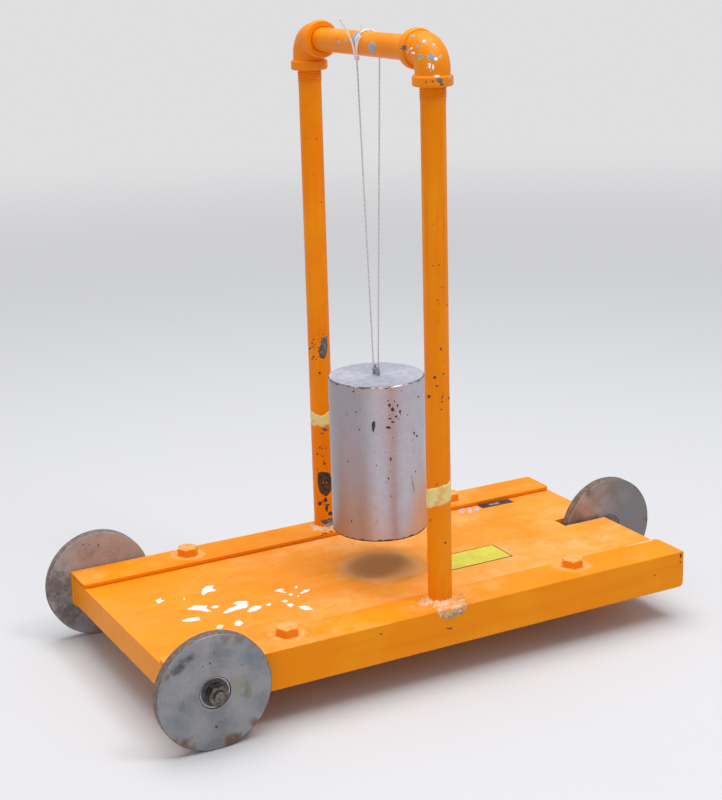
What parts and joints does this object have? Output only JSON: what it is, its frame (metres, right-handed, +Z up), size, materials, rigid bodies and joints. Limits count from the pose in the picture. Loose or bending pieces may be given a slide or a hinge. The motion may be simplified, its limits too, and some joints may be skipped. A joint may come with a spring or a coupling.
{
  "type": "pendulum cart",
  "caption": "Low wooden cart with angle-iron rails, free-running disc wheels and a pipe portal from which a heavy steel cylinder hangs on a loop of line.",
  "frame": {"origin": "on the floor under the middle of the cart's length and width", "axes": "+X along the cart towards the single rear wheel, +Y across it, +Z up"},
  "size_m": [0.5964, 0.308, 0.5696],
  "materials": {
    "painted_wood": "orange paint on plywood, dusty and chipped",
    "orange_paint": "semi-gloss orange paint, worn",
    "bolt_paint": "painted over, worn",
    "weld_metal": "weld metal with flaking paint",
    "plated_steel": "dull plating",
    "rusty_steel": "brown with rust",
    "dark_steel": "bare dark steel",
    "wheel_steel": "bare steel with rust at the rim",
    "race_steel": "ground",
    "seal_rubber": "matt",
    "weight_steel": "turned, with fine pits and rust marks",
    "line_fibre": "thin pale line"
  },
  "bodies": {
    "chassis": {"deck_board": "painted_wood", "near_rail": "orange_paint", "far_rail": "orange_paint", "near_post": "orange_paint", "far_post": "orange_paint", "crossbar_pipe": "orange_paint", "near_elbow": "orange_paint", "far_elbow": "orange_paint", "near_weld": "weld_metal", "far_weld": "weld_metal", "deck_bolts": "bolt_paint", "deck_washers": "plated_steel", "deck_nuts": "plated_steel", "front_axle": "plated_steel", "axle_spacers": "plated_steel", "axle_washers": "plated_steel", "axle_nuts": "rusty_steel", "rear_strap_near": "dark_steel", "rear_strap_far": "dark_steel", "rear_axle_bolt": "plated_steel", "rear_axle_nut": "plated_steel", "rear_bushes": "plated_steel", "strap_screws": "plated_steel", "near_front_inner_race": "race_steel", "far_front_inner_race": "race_steel", "rear_inner_race": "race_steel"},
    "near_front_wheel": {"near_front_wheel_disc": "wheel_steel", "near_front_outer_race": "race_steel", "near_front_bearing_balls": "race_steel", "near_front_bearing_seals": "seal_rubber"},
    "far_front_wheel": {"far_front_wheel_disc": "wheel_steel", "far_front_outer_race": "race_steel", "far_front_bearing_balls": "race_steel", "far_front_bearing_seals": "seal_rubber"},
    "rear_wheel": {"rear_wheel_disc": "wheel_steel", "rear_outer_race": "race_steel", "rear_bearing_balls": "race_steel", "rear_bearing_seals": "seal_rubber"},
    "pendulum_line": {"suspension_line": "line_fibre", "line_knot": "line_fibre"},
    "pendulum_weight": {"weight_cylinder": "weight_steel", "weight_eye": "dark_steel"}
  },
  "joints": [
    {"name": "near_front_wheel_spin", "type": "hinge", "parent": "chassis", "child": "near_front_wheel", "pos_m": [-0.24735, -0.13725, 0.0508], "axis": [0, 1, 0], "continuous": true},
    {"name": "far_front_wheel_spin", "type": "hinge", "parent": "chassis", "child": "far_front_wheel", "pos_m": [-0.24735, 0.13725, 0.0508], "axis": [0, 1, 0], "continuous": true},
    {"name": "rear_wheel_spin", "type": "hinge", "parent": "chassis", "child": "rear_wheel", "pos_m": [0.24735, 0.0025, 0.0508], "axis": [0, 1, 0], "continuous": true},
    {"name": "pendulum_swing", "type": "hinge", "parent": "chassis", "child": "pendulum_line", "pos_m": [-0.01665, -0.0032, 0.5467], "axis": [0, 1, 0], "range_deg": [-75, 75]},
    {"name": "weight_rock", "type": "hinge", "parent": "pendulum_line", "child": "pendulum_weight", "pos_m": [-0.01665, -0.0032, 0.2596], "axis": [0, 1, 0], "range_deg": [-60, 60]}
  ]
}
